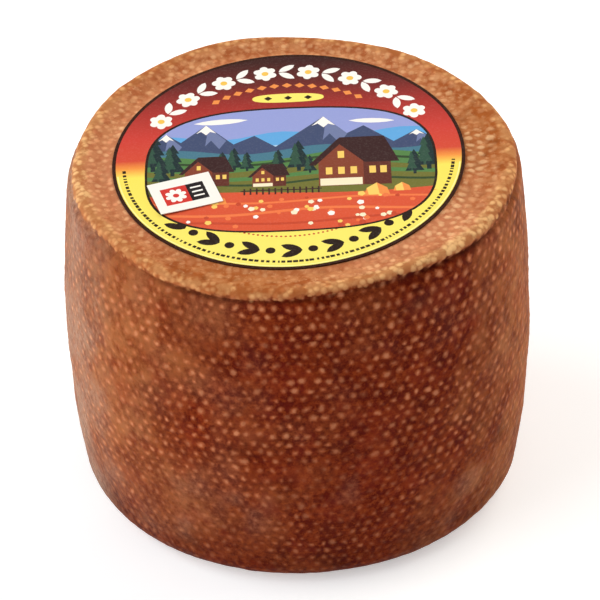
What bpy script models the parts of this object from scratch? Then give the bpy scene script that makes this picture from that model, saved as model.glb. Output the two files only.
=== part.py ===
"""A whole drum-shaped hard cheese: the wheel, the round paper label on its top and the small paper seal on the label.

Metres, +Z up. The origin is the centre of the flat foot, and the wheel's front faces -Y.
"""

import math

import bpy
from mathutils import Matrix, Vector

# The wheel's turned shape
BELLY_RADIUS = 0.0550
BELLY_HEIGHT = 0.0435
TOP_HEIGHT = 0.0885
FOOT_RADIUS = 0.0455
FOOT_CORNER_HEIGHT = 0.0073
FOOT_TAPER = 0.0025
TOP_TAPER = 0.0022

# The raised edge of crust round the top, and the crease where it meets the side
PLATEAU_RADIUS = 0.0440
CREST_RADIUS = 0.0492
CREST_RISE = 0.0008
EDGE_REACH = 0.0517
EDGE_DROP = 0.0011
CREASE_RADIUS = 0.0516
CREASE_DROP = 0.0017
SHOULDER_DROP = 0.0052

# How far the real wheel is from a turned one
OVAL = 0.0243
OVAL_ANGLE = math.radians(-19.5)
THREE_SIDED = 0.009
THREE_SIDED_ANGLE = math.radians(-10.6)
SLANT = Vector((0.025, 0.012))
EDGE_WANDER = 0.0006
CREST_WANDER = 0.0003
DENT_DEPTH = 0.00025

# The papers
PAPER = 0.0003
GLUE_GAP = 0.0003
LABEL_RADIUS = 0.0417
LABEL_CENTRE = Vector((-0.0008, 0.0003))
SEAL_SIZE = Vector((0.0151, 0.0120))
SEAL_CENTRE = Vector((-0.0252, -0.0118))
SEAL_TURN = math.radians(17.0)

# Fineness of the meshes
TURN_STEPS = 72
SIDE_ROWS = 14
CORNER_ROWS = 5
MERGE = 0.00001

RIND = ((0.36, 0.115, 0.045), 0.62)
PRINT_PAPER = ((0.78, 0.30, 0.10), 0.42)
SEAL_PAPER = ((0.90, 0.88, 0.84), 0.42)


def empty_scene():
    for old in list(bpy.data.objects):
        bpy.data.objects.remove(old, do_unlink=True)


def part_collection():
    parts = bpy.data.collections.new("drum_cheese")
    bpy.context.scene.collection.children.link(parts)
    return parts


def plain_material(name, look):
    colour, roughness = look
    made = bpy.data.materials.new(name)
    made.use_nodes = True
    shader = made.node_tree.nodes["Principled BSDF"]
    shader.inputs["Base Color"].default_value = (*colour, 1.0)
    shader.inputs["Roughness"].default_value = roughness
    shader.inputs["Metallic"].default_value = 0.0
    return made


def quarter_arc(start, end, rows, rises_first):
    """Points after start up to end on a quarter of an ellipse, leaving start along the radius or along the height."""
    points = []
    for row in range(1, rows + 1):
        turn = 0.5 * math.pi * row / rows
        slow, fast = 1.0 - math.cos(turn), math.sin(turn)
        along, up = (slow, fast) if rises_first else (fast, slow)
        points.append((start[0] + (end[0] - start[0]) * along, start[1] + (end[1] - start[1]) * up))
    return points


def eased(start, end, rows):
    """Points after start up to end on a soft step, level at both ends."""
    points = []
    for row in range(1, rows + 1):
        share = row / rows
        lift = share * share * (3.0 - 2.0 * share)
        points.append((start[0] + (end[0] - start[0]) * share, start[1] + (end[1] - start[1]) * lift))
    return points


def side_radius(height):
    """The side's gentle bulge, narrower towards the foot and the top."""
    low, high = FOOT_CORNER_HEIGHT, TOP_HEIGHT - SHOULDER_DROP
    if height < BELLY_HEIGHT:
        return BELLY_RADIUS - FOOT_TAPER * ((BELLY_HEIGHT - height) / (BELLY_HEIGHT - low)) ** 2
    return BELLY_RADIUS - TOP_TAPER * ((height - BELLY_HEIGHT) / (high - BELLY_HEIGHT)) ** 2


def wheel_profile():
    """Radius and height, from the middle of the top down the outside to the middle of the foot."""
    plateau = (PLATEAU_RADIUS, TOP_HEIGHT)
    crest = (CREST_RADIUS, TOP_HEIGHT + CREST_RISE)
    edge = (EDGE_REACH, TOP_HEIGHT - EDGE_DROP)
    crease = (CREASE_RADIUS, TOP_HEIGHT - CREASE_DROP)
    high, low = TOP_HEIGHT - SHOULDER_DROP, FOOT_CORNER_HEIGHT
    points = [(0.0, TOP_HEIGHT), (0.4 * PLATEAU_RADIUS, TOP_HEIGHT), (0.75 * PLATEAU_RADIUS, TOP_HEIGHT), plateau]
    points += eased(plateau, crest, 3)
    points += quarter_arc(crest, edge, CORNER_ROWS, False)
    points.append(crease)
    points += quarter_arc(crease, (side_radius(high), high), 4, False)
    for row in range(1, SIDE_ROWS + 1):
        height = high + (low - high) * row / SIDE_ROWS
        points.append((side_radius(height), height))
    points += quarter_arc((side_radius(low), low), (FOOT_RADIUS, 0.0), CORNER_ROWS, True)
    points += [(0.5 * FOOT_RADIUS, 0.0), (0.0, 0.0)]
    return points


def turned_mesh(name, profile):
    """The closed mesh of a profile in the XZ plane, turned once about Z."""
    line = bpy.data.meshes.new(name + "_profile")
    edges = [(k, k + 1) for k in range(len(profile) - 1)]
    line.from_pydata([(radius, 0.0, height) for radius, height in profile], edges, [])
    guide = bpy.data.objects.new(name + "_profile", line)
    bpy.context.scene.collection.objects.link(guide)
    screw = guide.modifiers.new("Turn", "SCREW")
    screw.axis = "Z"
    screw.steps = TURN_STEPS
    screw.render_steps = TURN_STEPS
    screw.use_merge_vertices = True
    screw.merge_threshold = MERGE
    bpy.context.view_layer.update()
    seen = guide.evaluated_get(bpy.context.evaluated_depsgraph_get())
    mesh = bpy.data.meshes.new_from_object(seen)
    mesh.name = name
    bpy.data.objects.remove(guide, do_unlink=True)
    return mesh


def wave(angle, cycles, starts):
    """A wandering line round the wheel, within one up and down, made of a few whole numbers of waves."""
    return sum(math.sin(n * angle + start) for n, start in zip(cycles, starts)) / len(cycles)


def edge_share(height):
    """1 on the raised edge and its crease, fading to 0 down the shoulder and nothing below it."""
    return min(1.0, max(0.0, (height - TOP_HEIGHT + SHOULDER_DROP) / (SHOULDER_DROP - CREASE_DROP)))


def settled(point):
    """Where a point of the turned wheel lies on the real one: oval, dented, its edge wandering and its top slanted."""
    radius = math.hypot(point.x, point.y)
    height = point.z
    angle = math.atan2(point.y, point.x)
    oval = OVAL * math.cos(2.0 * (angle - OVAL_ANGLE))
    oval += THREE_SIDED * math.cos(3.0 * (angle - THREE_SIDED_ANGLE))
    rise = height / TOP_HEIGHT
    on_side = min(1.0, max(0.0, radius / FOOT_RADIUS - 0.9) * 10.0)
    dent = DENT_DEPTH * wave(angle + 2.1 * rise, (4, 7, 11), (0.4, 2.0, 4.4)) * math.sin(math.pi * rise) * on_side
    past_plateau = max(0.0, radius - PLATEAU_RADIUS) / (CREASE_RADIUS - PLATEAU_RADIUS)
    share = edge_share(height) * min(1.0, past_plateau)
    inward = EDGE_WANDER * wave(angle, (3, 5, 8), (1.1, 3.9, 0.3)) * share
    lift = CREST_WANDER * wave(angle, (4, 7, 9), (5.1, 0.6, 2.7)) * share
    reach = radius * (1.0 + oval) + dent + inward
    x, y = reach * math.cos(angle), reach * math.sin(angle)
    return Vector((x, y, height + lift + rise * SLANT.dot(Vector((x, y)))))


def link(parts, name, mesh, material):
    part = bpy.data.objects.new(name, mesh)
    mesh.materials.clear()
    mesh.materials.append(material)
    mesh.shade_smooth()
    mesh.set_sharp_from_angle(angle=math.radians(35.0))
    parts.objects.link(part)
    return part


def cheese_wheel(parts):
    mesh = turned_mesh("cheese_wheel", wheel_profile())
    for vertex in mesh.vertices:
        vertex.co = settled(vertex.co)
    return link(parts, "cheese_wheel", mesh, plain_material("rind", RIND))


def lay_on_top(mesh, height):
    """Tips a flat sheet to the slanted top and lifts it to its height over it."""
    for vertex in mesh.vertices:
        tilt = SLANT.dot(vertex.co.xy)
        vertex.co.z += TOP_HEIGHT + height + tilt


def paper_label(parts):
    profile = [(0.0, PAPER), (0.5 * LABEL_RADIUS, PAPER), (LABEL_RADIUS, PAPER)]
    profile += [(LABEL_RADIUS, 0.0), (0.5 * LABEL_RADIUS, 0.0), (0.0, 0.0)]
    mesh = turned_mesh("paper_label", profile)
    mesh.transform(Matrix.Translation(LABEL_CENTRE.to_3d()))
    lay_on_top(mesh, GLUE_GAP)
    return link(parts, "paper_label", mesh, plain_material("printed_paper", PRINT_PAPER))


def paper_seal(parts):
    bpy.ops.mesh.primitive_cube_add(size=1.0)
    cube = bpy.context.object
    mesh = cube.data.copy()
    mesh.name = "paper_seal"
    bpy.data.objects.remove(cube, do_unlink=True)
    place = Matrix.Translation(SEAL_CENTRE.to_3d()) @ Matrix.Rotation(SEAL_TURN, 4, "Z")
    size = Matrix.Diagonal((SEAL_SIZE.x, SEAL_SIZE.y, PAPER, 1.0))
    mesh.transform(place @ size @ Matrix.Translation((0.0, 0.0, 0.5)))
    lay_on_top(mesh, GLUE_GAP + PAPER + GLUE_GAP)
    return link(parts, "paper_seal", mesh, plain_material("seal_paper", SEAL_PAPER))


def centre_over_origin(parts, wheel):
    """Moves all the parts together so that the wheel's box is centred on the origin."""
    xs = [vertex.co.x for vertex in wheel.data.vertices]
    ys = [vertex.co.y for vertex in wheel.data.vertices]
    middle = Vector((0.5 * (min(xs) + max(xs)), 0.5 * (min(ys) + max(ys)), 0.0))
    for part in parts:
        part.data.transform(Matrix.Translation(-middle))


def main():
    empty_scene()
    parts = part_collection()
    wheel = cheese_wheel(parts)
    label = paper_label(parts)
    seal = paper_seal(parts)
    centre_over_origin((wheel, label, seal), wheel)


main()
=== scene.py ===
"""The looks of a drum-shaped washed-rind cheese: its dotted rind, printed paper label and paper seal.

Metres, +Z up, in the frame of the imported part. The wheel's front faces -Y. Angles round the wheel count
from +X, so the front is at -90 degrees. The print on the papers is drawn in millimetres.
"""

import functools
import math

import bpy
import numpy as np
from mathutils import Matrix, Vector
from mathutils.geometry import delaunay_2d_cdt


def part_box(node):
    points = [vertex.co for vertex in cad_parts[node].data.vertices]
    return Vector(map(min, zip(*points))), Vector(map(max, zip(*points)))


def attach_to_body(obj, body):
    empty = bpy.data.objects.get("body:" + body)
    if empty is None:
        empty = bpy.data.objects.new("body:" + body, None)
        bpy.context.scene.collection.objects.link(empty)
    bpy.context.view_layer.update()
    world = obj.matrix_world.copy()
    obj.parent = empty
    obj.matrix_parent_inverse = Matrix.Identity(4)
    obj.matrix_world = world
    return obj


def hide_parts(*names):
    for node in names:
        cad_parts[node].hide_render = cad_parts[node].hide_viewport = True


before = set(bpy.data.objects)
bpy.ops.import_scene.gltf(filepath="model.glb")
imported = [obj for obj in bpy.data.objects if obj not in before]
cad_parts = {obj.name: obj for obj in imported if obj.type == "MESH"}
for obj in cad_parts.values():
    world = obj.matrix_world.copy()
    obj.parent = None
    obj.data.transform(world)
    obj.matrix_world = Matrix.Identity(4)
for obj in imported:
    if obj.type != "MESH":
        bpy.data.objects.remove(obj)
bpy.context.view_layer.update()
MM = 0.001

# The wheel's turned shape, as the part has it
BELLY_RADIUS = 0.0550
BELLY_HEIGHT = 0.0435
TOP_HEIGHT = 0.0885
FOOT_RADIUS = 0.0455
FOOT_CORNER_HEIGHT = 0.0073
FOOT_TAPER = 0.0025
TOP_TAPER = 0.0022
PLATEAU_RADIUS = 0.0440
CREST_RADIUS = 0.0492
CREST_RISE = 0.0008
EDGE_REACH = 0.0517
EDGE_DROP = 0.0011
CREASE_RADIUS = 0.0516
CREASE_DROP = 0.0017
SHOULDER_DROP = 0.0052
OVAL = 0.0243
OVAL_ANGLE = math.radians(-19.5)
THREE_SIDED = 0.009
THREE_SIDED_ANGLE = math.radians(-10.6)
SLANT = np.array([0.025, 0.012])
EDGE_WANDER = 0.0006
CREST_WANDER = 0.0003
DENT_DEPTH = 0.00025

# The mesh of the rind: rows close together on the top and its edge, and sparse under the label and the foot
COLUMNS = 540
TOP_ROW = 0.45 * MM
SIDE_ROW = 0.70 * MM
FOOT_ROW = 3.0 * MM
TOP_REACH = 3.0 * MM
HIDDEN_RADIUS = 0.0405
HIDDEN_ROWS = 4
ARC_POINTS = 40

# The cloth's print in the rind: staggered rows of small pale pimples
DOTS_ROUND = 115
DOT_PITCH = 2.0 * math.pi * BELLY_RADIUS / DOTS_ROUND
ROW_PITCH = 2.62 * MM
DOT_RADIUS = 0.86 * MM
DOT_HEIGHT = 0.15 * MM
TOP_DOT_HEIGHT = 0.17 * MM
DOT_JITTER = 0.26
DRAWN_ROWS = 256

# Random lumps in layers, each its height, the size of its lumps in millimetres and its seed
NOISE_TABLE = 48
CLOTH_BENDS = [((0.5, 21.0, seed), (0.20, 6.0, seed + 1), (0.14, 3.1, seed + 2)) for seed in (3, 7)]
BROAD_LUMPS = ((0.12, 9.0, 31), (0.06, 3.2, 32))
FINE_LUMPS = ((0.06, 1.5, 33),)
CRUST_CRAGS = ((0.07, 3.2, 34), (0.12, 1.5, 35))
PALE_DRIFT = ((0.26, 16.0, 41), (0.16, 6.0, 42))
BORDER_BEND = ((0.26, 24.0, 43), (0.10, 9.0, 44), (0.07, 4.0, 45))
DUST_PATCHES = ((1.0, 10.0, 51), (0.5, 4.0, 52))
LABEL_WAVES = ((0.10, 13.0, 61),)

# Places round the wheel, each its share or its depth in millimetres, its middle and its reach in degrees
CRUST_LOW = ((0.75, -110.0, 40.0), (0.65, -40.0, 20.0), (0.5, 20.0, 30.0))
CRUST_HIGH = ((0.60, -73.0, 16.0), (0.60, -24.0, 8.0), (0.30, -145.0, 16.0))
CREAM_PLACES = ((1.0, -178.0, 34.0), (1.0, -46.0, 44.0))
BROWN_PLACES = ((1.0, 8.0, 46.0), (1.0, -106.0, 44.0), (0.35, 95.0, 80.0))
SHALLOW_GROOVE = ((0.17, 190.0, 60.0), (0.10, 10.0, 40.0))

# What the middle of the top and of the foot have in "zones"
POLE_ZONES = ((-50.0, 0.0, 0.0), (150.0, 0.0, 0.3))

# The papers, with the label's radius and the seal's sides in millimetres
PAPER = 0.3 * MM
LABEL_RADIUS = 41.7
LABEL_MARGIN = (0.2, 1.4)
LABEL_BED = 0.27 * MM
SEAL_WIDTH = 15.1
SEAL_DEPTH = 12.0
SEAL_TURN = 17.0
SEAL_PAPER = 0.16 * MM
SEAL_SINK = 0.26 * MM
SEAL_CURL = 0.30 * MM


# Random lumps and soft steps

def smooth(share):
    """A share from 0 to 1, eased at both ends."""
    return share * share * (3.0 - 2.0 * share)


def smooth_step(low, high, value):
    """0 where value is low, 1 where it is high, eased between them."""
    return smooth(np.clip((value - low) / (high - low), 0.0, 1.0))


def soft_noise(points, cell, seed):
    """Smooth random values from -1 to 1 at points, in lumps about cell across."""
    table = np.random.default_rng(seed).uniform(-1.0, 1.0, (NOISE_TABLE,) * 3)
    scaled = points / cell
    low = np.floor(scaled).astype(int)
    share = smooth(scaled - low)
    total = np.zeros(points.shape[:-1])
    for corner in np.ndindex(2, 2, 2):
        weight = np.prod(np.where(corner, share, 1.0 - share), axis=-1)
        at = (low + corner) % NOISE_TABLE
        total += weight * table[at[..., 0], at[..., 1], at[..., 2]]
    return total


def layered_noise(points, layers):
    return sum(height * soft_noise(points, size * MM, seed) for height, size, seed in layers)


def wave(angle, cycles, starts):
    """A wandering line round the wheel, within one up and down, made of a few whole numbers of waves."""
    return sum(np.sin(n * angle + start) for n, start in zip(cycles, starts)) / len(cycles)


def degrees_past(angle, middle):
    """How far an angle round the wheel is past a middle in degrees, from -180 to 180 degrees."""
    return np.degrees(np.angle(np.exp(1j * (angle - math.radians(middle)))))


def swell(angle, middle, reach):
    """A smooth rise to 1 at middle and back to 0 about reach away on each side, both in degrees."""
    return np.exp(-(1.5 * degrees_past(angle, middle) / reach) ** 2)


def swells(angle, places):
    return sum(share * swell(angle, middle, reach) for share, middle, reach in places)


def ridge(value, middle, width):
    return np.exp(-((value - middle) / width) ** 2)


# The wheel's form

def part_way(start, end, along, up):
    """Points between start and end, at shares along the radius and up the height."""
    return np.stack([start[0] + (end[0] - start[0]) * along, start[1] + (end[1] - start[1]) * up], 1)


def quarter_arc(start, end, rises_first):
    """Points after start up to end on a quarter of an ellipse, leaving along the radius or the height."""
    turn = np.linspace(0.0, 0.5 * math.pi, ARC_POINTS)[1:]
    slow, fast = 1.0 - np.cos(turn), np.sin(turn)
    along, up = (slow, fast) if rises_first else (fast, slow)
    return part_way(start, end, along, up)


def eased(start, end):
    """Points after start up to end on a soft step, level at both ends."""
    share = np.linspace(0.0, 1.0, ARC_POINTS)[1:]
    return part_way(start, end, share, smooth(share))


def side_radius(height):
    """The side's gentle bulge, narrower towards the foot and the top."""
    low, high = FOOT_CORNER_HEIGHT, TOP_HEIGHT - SHOULDER_DROP
    lower = FOOT_TAPER * ((BELLY_HEIGHT - height) / (BELLY_HEIGHT - low)) ** 2
    upper = TOP_TAPER * ((height - BELLY_HEIGHT) / (high - BELLY_HEIGHT)) ** 2
    return BELLY_RADIUS - np.where(height < BELLY_HEIGHT, lower, upper)


def wheel_profile():
    """Radius and height, closely spaced, from the middle of the top down the outside to that of the foot."""
    plateau = (PLATEAU_RADIUS, TOP_HEIGHT)
    crest = (CREST_RADIUS, TOP_HEIGHT + CREST_RISE)
    edge = (EDGE_REACH, TOP_HEIGHT - EDGE_DROP)
    crease = (CREASE_RADIUS, TOP_HEIGHT - CREASE_DROP)
    high, low = TOP_HEIGHT - SHOULDER_DROP, FOOT_CORNER_HEIGHT
    heights = np.linspace(high, low, 4 * ARC_POINTS)[1:]
    return np.concatenate([
        [(0.0, TOP_HEIGHT), plateau],
        eased(plateau, crest),
        quarter_arc(crest, edge, False),
        [crease],
        quarter_arc(crease, (side_radius(high), high), False),
        np.stack([side_radius(heights), heights], 1),
        quarter_arc((side_radius(low), low), (FOOT_RADIUS, 0.0), True),
        [(0.0, 0.0)],
    ])


def way_down(line):
    """How far along a profile each of its points is from its first."""
    return np.concatenate([[0.0], np.cumsum(np.hypot(*np.diff(line, axis=0).T))])


def edge_way():
    """How far down the profile the edge reaches out the most."""
    line = wheel_profile()
    off = np.hypot(line[:, 0] - EDGE_REACH, line[:, 1] - TOP_HEIGHT + EDGE_DROP)
    return way_down(line)[np.argmin(off)]


def profile_rows():
    """Radius, height and way down the profile of each row of the mesh, and the row on which the foot starts.

    The two poles aren't among the rows.
    """
    line = wheel_profile()
    way = way_down(line)
    foot = way[-1] - FOOT_RADIUS
    side = edge_way() + TOP_REACH
    hidden = np.linspace(0.0, HIDDEN_RADIUS, HIDDEN_ROWS + 2)[1:-1]
    top = np.linspace(HIDDEN_RADIUS, side, int((side - HIDDEN_RADIUS) / TOP_ROW))[:-1]
    down = np.linspace(side, foot, int((foot - side) / SIDE_ROW))
    under = np.linspace(foot, way[-1], int(FOOT_RADIUS / FOOT_ROW))[1:-1]
    rows = np.concatenate([hidden, top, down, under])
    foot_row = len(hidden) + len(top) + len(down) - 1
    return np.interp(rows, way, line[:, 0]), np.interp(rows, way, line[:, 1]), rows, foot_row


def settled(radius, height, angle):
    """Where points of the turned wheel lie on the real one: oval, dented, slanted, with a wandering edge."""
    oval = OVAL * np.cos(2.0 * (angle - OVAL_ANGLE)) + THREE_SIDED * np.cos(3.0 * (angle - THREE_SIDED_ANGLE))
    rise = height / TOP_HEIGHT
    on_side = np.clip((radius / FOOT_RADIUS - 0.9) * 10.0, 0.0, 1.0)
    dents = wave(angle + 2.1 * rise, (4, 7, 11), (0.4, 2.0, 4.4))
    dent = DENT_DEPTH * dents * np.sin(math.pi * rise) * on_side
    share = np.clip((height - TOP_HEIGHT + SHOULDER_DROP) / (SHOULDER_DROP - CREASE_DROP), 0.0, 1.0)
    share = share * np.clip((radius - PLATEAU_RADIUS) / (CREASE_RADIUS - PLATEAU_RADIUS), 0.0, 1.0)
    inward = EDGE_WANDER * wave(angle, (3, 5, 8), (1.1, 3.9, 0.3)) * share
    lift = CREST_WANDER * wave(angle, (4, 7, 9), (5.1, 0.6, 2.7)) * share
    reach = radius * (1.0 + oval) + dent + inward
    x, y = reach * np.cos(angle), reach * np.sin(angle)
    z = height + lift + rise * (SLANT[0] * x + SLANT[1] * y)
    return np.stack([x, y, z], -1)


def middle_shift(points):
    """What brings the middle of the wheel's box over the origin, as the part does."""
    flat = points.reshape(-1, 3)
    low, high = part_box("cheese_wheel")
    wanted = 0.5 * (np.array(low) + np.array(high))
    shift = wanted - 0.5 * (flat.min(0) + flat.max(0))
    shift[2] = 0.0
    return shift


def unit_normals(points):
    """Outward normals of a grid of rows by columns that closes round the columns."""
    down = np.gradient(points, axis=0)
    across = np.roll(points, -1, axis=1) - np.roll(points, 1, axis=1)
    normal = np.cross(down, across)
    return normal / np.linalg.norm(normal, axis=-1, keepdims=True)


def crust_line(angle):
    """How far down the profile past the edge's reach the worn golden crust comes, round the wheel."""
    wander = 0.22 * wave(angle, (7, 12, 19, 31), (1.9, 4.0, 5.5, 0.4))
    return (swells(angle, CRUST_LOW) - swells(angle, CRUST_HIGH) - 0.75 + wander) * MM


class Rind:
    """The rind's grid of points, with the cloth's dots and the crust's lumps in its shape."""

    def __init__(self):
        radius, height, way, self.foot_row = profile_rows()
        angle = np.arange(COLUMNS) * 2.0 * math.pi / COLUMNS
        self.radius, self.height = radius[:, None], height[:, None]
        self.way, self.angle = np.broadcast_arrays(way[:, None], angle[None, :])
        base = settled(self.radius, self.height, self.angle)
        self.base = base + middle_shift(base)
        self.rise = self.height / TOP_HEIGHT
        self.past_edge = self.way - edge_way()
        self.past_line = self.past_edge - crust_line(self.angle)
        # 0 in the middle of the foot, where no side of the wheel is nearer, and 1 from near its edge on
        self.past_foot = smooth_step(0.2, 1.0, self.radius / FOOT_RADIUS)
        # What bends the borders of the coloured places, in radians round the wheel
        self.bend = layered_noise(self.base, BORDER_BEND)
        # Tan paleness: dry rind on the back and foot, and a painted sheen on the left and right sides
        self.pale_and_sheen = self.pale_and_sheen_places()
        # Grey: a painted sheen along the left edge, and dust in patches low down
        self.dust_and_sheen = self.dust_and_sheen_places()
        self.cream = swells(self.angle, CREAM_PLACES)
        self.brown = swells(self.angle, BROWN_PLACES)
        self.turned, self.flat = self.weaves()
        row, column, off = self.nearest_dots()
        self.strength = self.dot_strengths(row, column)
        self.depth = self.relief(off)
        self.points = self.base + unit_normals(self.base) * self.depth[..., None]
        self.points[..., 2] = np.maximum(self.points[..., 2], 0.0)

    def weaves(self):
        """Each point's place in the cloth's weave, one unit a dot along a row and one a row.

        The first has its rows round the wheel, for the side and the top. The second is for the foot.
        """
        along, down = (layered_noise(self.base, layers) for layers in CLOTH_BENDS)
        around = self.angle * DOTS_ROUND / (2.0 * math.pi) + along
        turned = np.stack([around, self.past_edge / ROW_PITCH + down], -1)
        flat = np.stack([self.base[..., 0] / DOT_PITCH + along, self.base[..., 1] / ROW_PITCH + down], -1)
        return turned, flat

    def nearest_dots(self):
        """The row and column of each point's nearest dot, and how far off it is in metres."""
        under = np.arange(len(self.way))[:, None] > self.foot_row
        weave = np.where(under[..., None], self.flat, self.turned)
        along, down = weave[..., 0], weave[..., 1]
        row = np.round(down)
        stagger = 0.5 * np.mod(row, 2.0)
        column = np.round(along - stagger)
        off = np.hypot((along - stagger - column) * DOT_PITCH, (down - row) * ROW_PITCH)
        return row.astype(int), np.mod(column, DOTS_ROUND).astype(int), off

    def dot_strengths(self, row, column):
        """How strongly the nearest dot shows, from 0 to 1, uneven from dot to dot and from patch to patch."""
        draws = np.random.default_rng(11).beta(1.8, 2.0, (DRAWN_ROWS, DOTS_ROUND))
        patch = smooth_step(-0.7, 0.2, soft_noise(self.base, 12 * MM, 21))
        worn = smooth_step(0.8, 0.1, soft_noise(self.base, 30 * MM, 22))
        up_side = 0.5 + 0.5 * smooth_step(0.02, 0.55, self.rise)
        on_side = (0.6 + 0.4 * worn) * up_side * (1.0 - 0.15 * self.pale_and_sheen) * (0.5 + 0.5 * patch)
        on_side = on_side + 0.28 * swell(self.angle, -42.0, 22.0) * smooth_step(0.35, 0.7, self.rise)
        faint = 0.25 * swell(self.angle, -34.0, 30.0) * smooth_step(0.5, 0.2, self.rise)
        on_side = on_side * (1.0 - faint)
        rubbed = smooth_step(-0.5, 0.6, soft_noise(self.base, 7 * MM, 23))
        on_top = (0.3 + 0.7 * rubbed) * (0.4 + 0.8 * swell(self.angle, -14.0, 75.0))
        kept = np.where(self.past_line < 0.0, np.minimum(on_top, 1.0), on_side)
        return (0.3 + 0.7 * draws[row % DRAWN_ROWS, column]) * kept

    def pale_and_sheen_places(self):
        """Where the side is tan, from 0 to 1: dry on its back and on the foot, and on its left and right
        partly dry and partly a painted sheen where the side turns away.
        """
        drifting = self.angle + self.bend
        left = smooth_step(0.36, 1.0, np.cos(drifting + math.radians(162.0)))
        left = left * smooth_step(-0.2, 0.55, self.rise)
        left = left + 0.25 * swell(self.angle, -127.0, 18.0) * smooth_step(0.5, 0.75, self.rise)
        from_right = degrees_past(drifting, 4.0) + 13.0 * smooth_step(0.9, 0.45, self.rise)
        right = smooth_step(-46.0, -18.0, from_right) * smooth_step(95.0, 15.0, from_right)
        low_right = swell(self.angle, -38.0, 34.0) * smooth_step(0.5, 0.2, self.rise)
        back = smooth_step(0.5, 1.0, np.cos(drifting - math.radians(95.0)))
        round_side = 0.95 * left + 0.95 * right + 0.5 * back + 0.25 * low_right
        broad = round_side * self.past_foot + 0.45 * (1.0 - self.past_foot)
        return np.clip(broad + layered_noise(self.base, PALE_DRIFT), 0.0, 1.0)

    def dust_and_sheen_places(self):
        """Where the side is grey, from 0 to 1: a painted sheen along its left, and a thin dusty bloom in
        patches low down.
        """
        halfway = self.angle + 0.5 * self.bend
        left = smooth_step(0.84, 1.0, np.cos(halfway - math.radians(186.0)))
        left = left * smooth_step(-1.1, 0.2, soft_noise(self.base, 8 * MM, 53))
        low = smooth_step(0.55, 0.15, self.rise)
        left_low = 0.12 * low * swell(self.angle, -160.0, 44.0)
        patches = smooth_step(-0.2, 0.9, layered_noise(self.base, DUST_PATCHES))
        return np.clip((0.66 * left + left_low) * self.past_foot + (0.06 + 0.12 * low) * patches, 0.0, 1.0)

    def past_label(self):
        """0 under the label, which the rind bears up flat, and 1 a little way outside it."""
        middle = np.mean(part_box("paper_label"), axis=0)
        off = np.hypot(self.base[..., 0] - middle[0], self.base[..., 1] - middle[1]) / MM
        start, end = LABEL_MARGIN
        past = smooth_step(LABEL_RADIUS + start, LABEL_RADIUS + end, off)
        return np.where(self.height < 0.5 * TOP_HEIGHT, 1.0, past)

    def relief(self, off):
        """How far each point stands out of the settled wheel, in metres, with its nearest dot off away."""
        past_line = self.past_line / MM
        crust = smooth_step(0.6, -0.2, past_line)
        high = np.where(past_line < 0.0, TOP_DOT_HEIGHT, DOT_HEIGHT)
        dots = high * self.strength * smooth_step(1.25 * DOT_RADIUS, 0.2 * DOT_RADIUS, off)
        broad = layered_noise(self.base, BROAD_LUMPS) * (1.0 - 0.5 * crust)
        fine = layered_noise(self.base, FINE_LUMPS)
        crags = layered_noise(self.base, CRUST_CRAGS) * crust
        calm = 1.0 - 0.65 * crust * swell(self.angle, 90.0, 110.0)
        lip = 0.20 * ridge(past_line, -1.4, 1.0)
        groove = (0.24 - swells(self.angle, SHALLOW_GROOVE)) * ridge(past_line, 0.7, 0.6)
        uneven = ((broad + fine + crags) * calm + lip - groove) * MM
        under = smooth_step(0.0, 2.0, (self.way - self.way[self.foot_row]) / MM)
        past_label = self.past_label()
        return (dots + uneven * (1.0 - 0.5 * under)) * past_label + LABEL_BED * (1.0 - past_label)


def rind_faces(rows):
    """Quads between the rows and a fan round each pole, whose points come after the rows, the top's first."""
    across = np.arange(COLUMNS)
    beside = (across + 1) % COLUMNS
    faces = []
    for row in range(rows - 1):
        first, second = row * COLUMNS, (row + 1) * COLUMNS
        faces += np.stack([first + across, second + across, second + beside, first + beside], 1).tolist()
    top, foot = rows * COLUMNS, rows * COLUMNS + 1
    last = (rows - 1) * COLUMNS
    faces += np.stack([np.full(COLUMNS, top), across, beside], 1).tolist()
    faces += np.stack([np.full(COLUMNS, foot), last + beside, last + across], 1).tolist()
    return faces


def rind_corners(rind):
    """The weave's place and the dot's strength at each corner, unbroken over the seam and the foot's edge."""
    turned = np.concatenate([rind.turned, rind.turned[:, :1] + [DOTS_ROUND, 0.0]], 1)
    flat = np.concatenate([rind.flat, rind.flat[:, :1]], 1)
    strength = np.concatenate([rind.strength, rind.strength[:, :1]], 1)[..., None]
    corners = []
    for row in range(len(rind.way) - 1):
        weave = flat if row >= rind.foot_row else turned
        sides = [
            np.concatenate([weave[r, c:c + COLUMNS], strength[r, c:c + COLUMNS]], 1)
            for r, c in ((row, 0), (row + 1, 0), (row + 1, 1), (row, 1))
        ]
        corners.append(np.stack(sides, 1).reshape(-1, 3))
    fans = np.zeros((2 * COLUMNS * 3, 3))
    return np.concatenate(corners + [fans])


def attach(mesh, name, kind, domain, values):
    """Stores values on a mesh under a name, for its material to read."""
    field = {"FLOAT_VECTOR": "vector", "FLOAT_COLOR": "color", "FLOAT": "value"}[kind]
    mesh.attributes.new(name, kind, domain).data.foreach_set(field, np.ravel(values))


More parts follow.
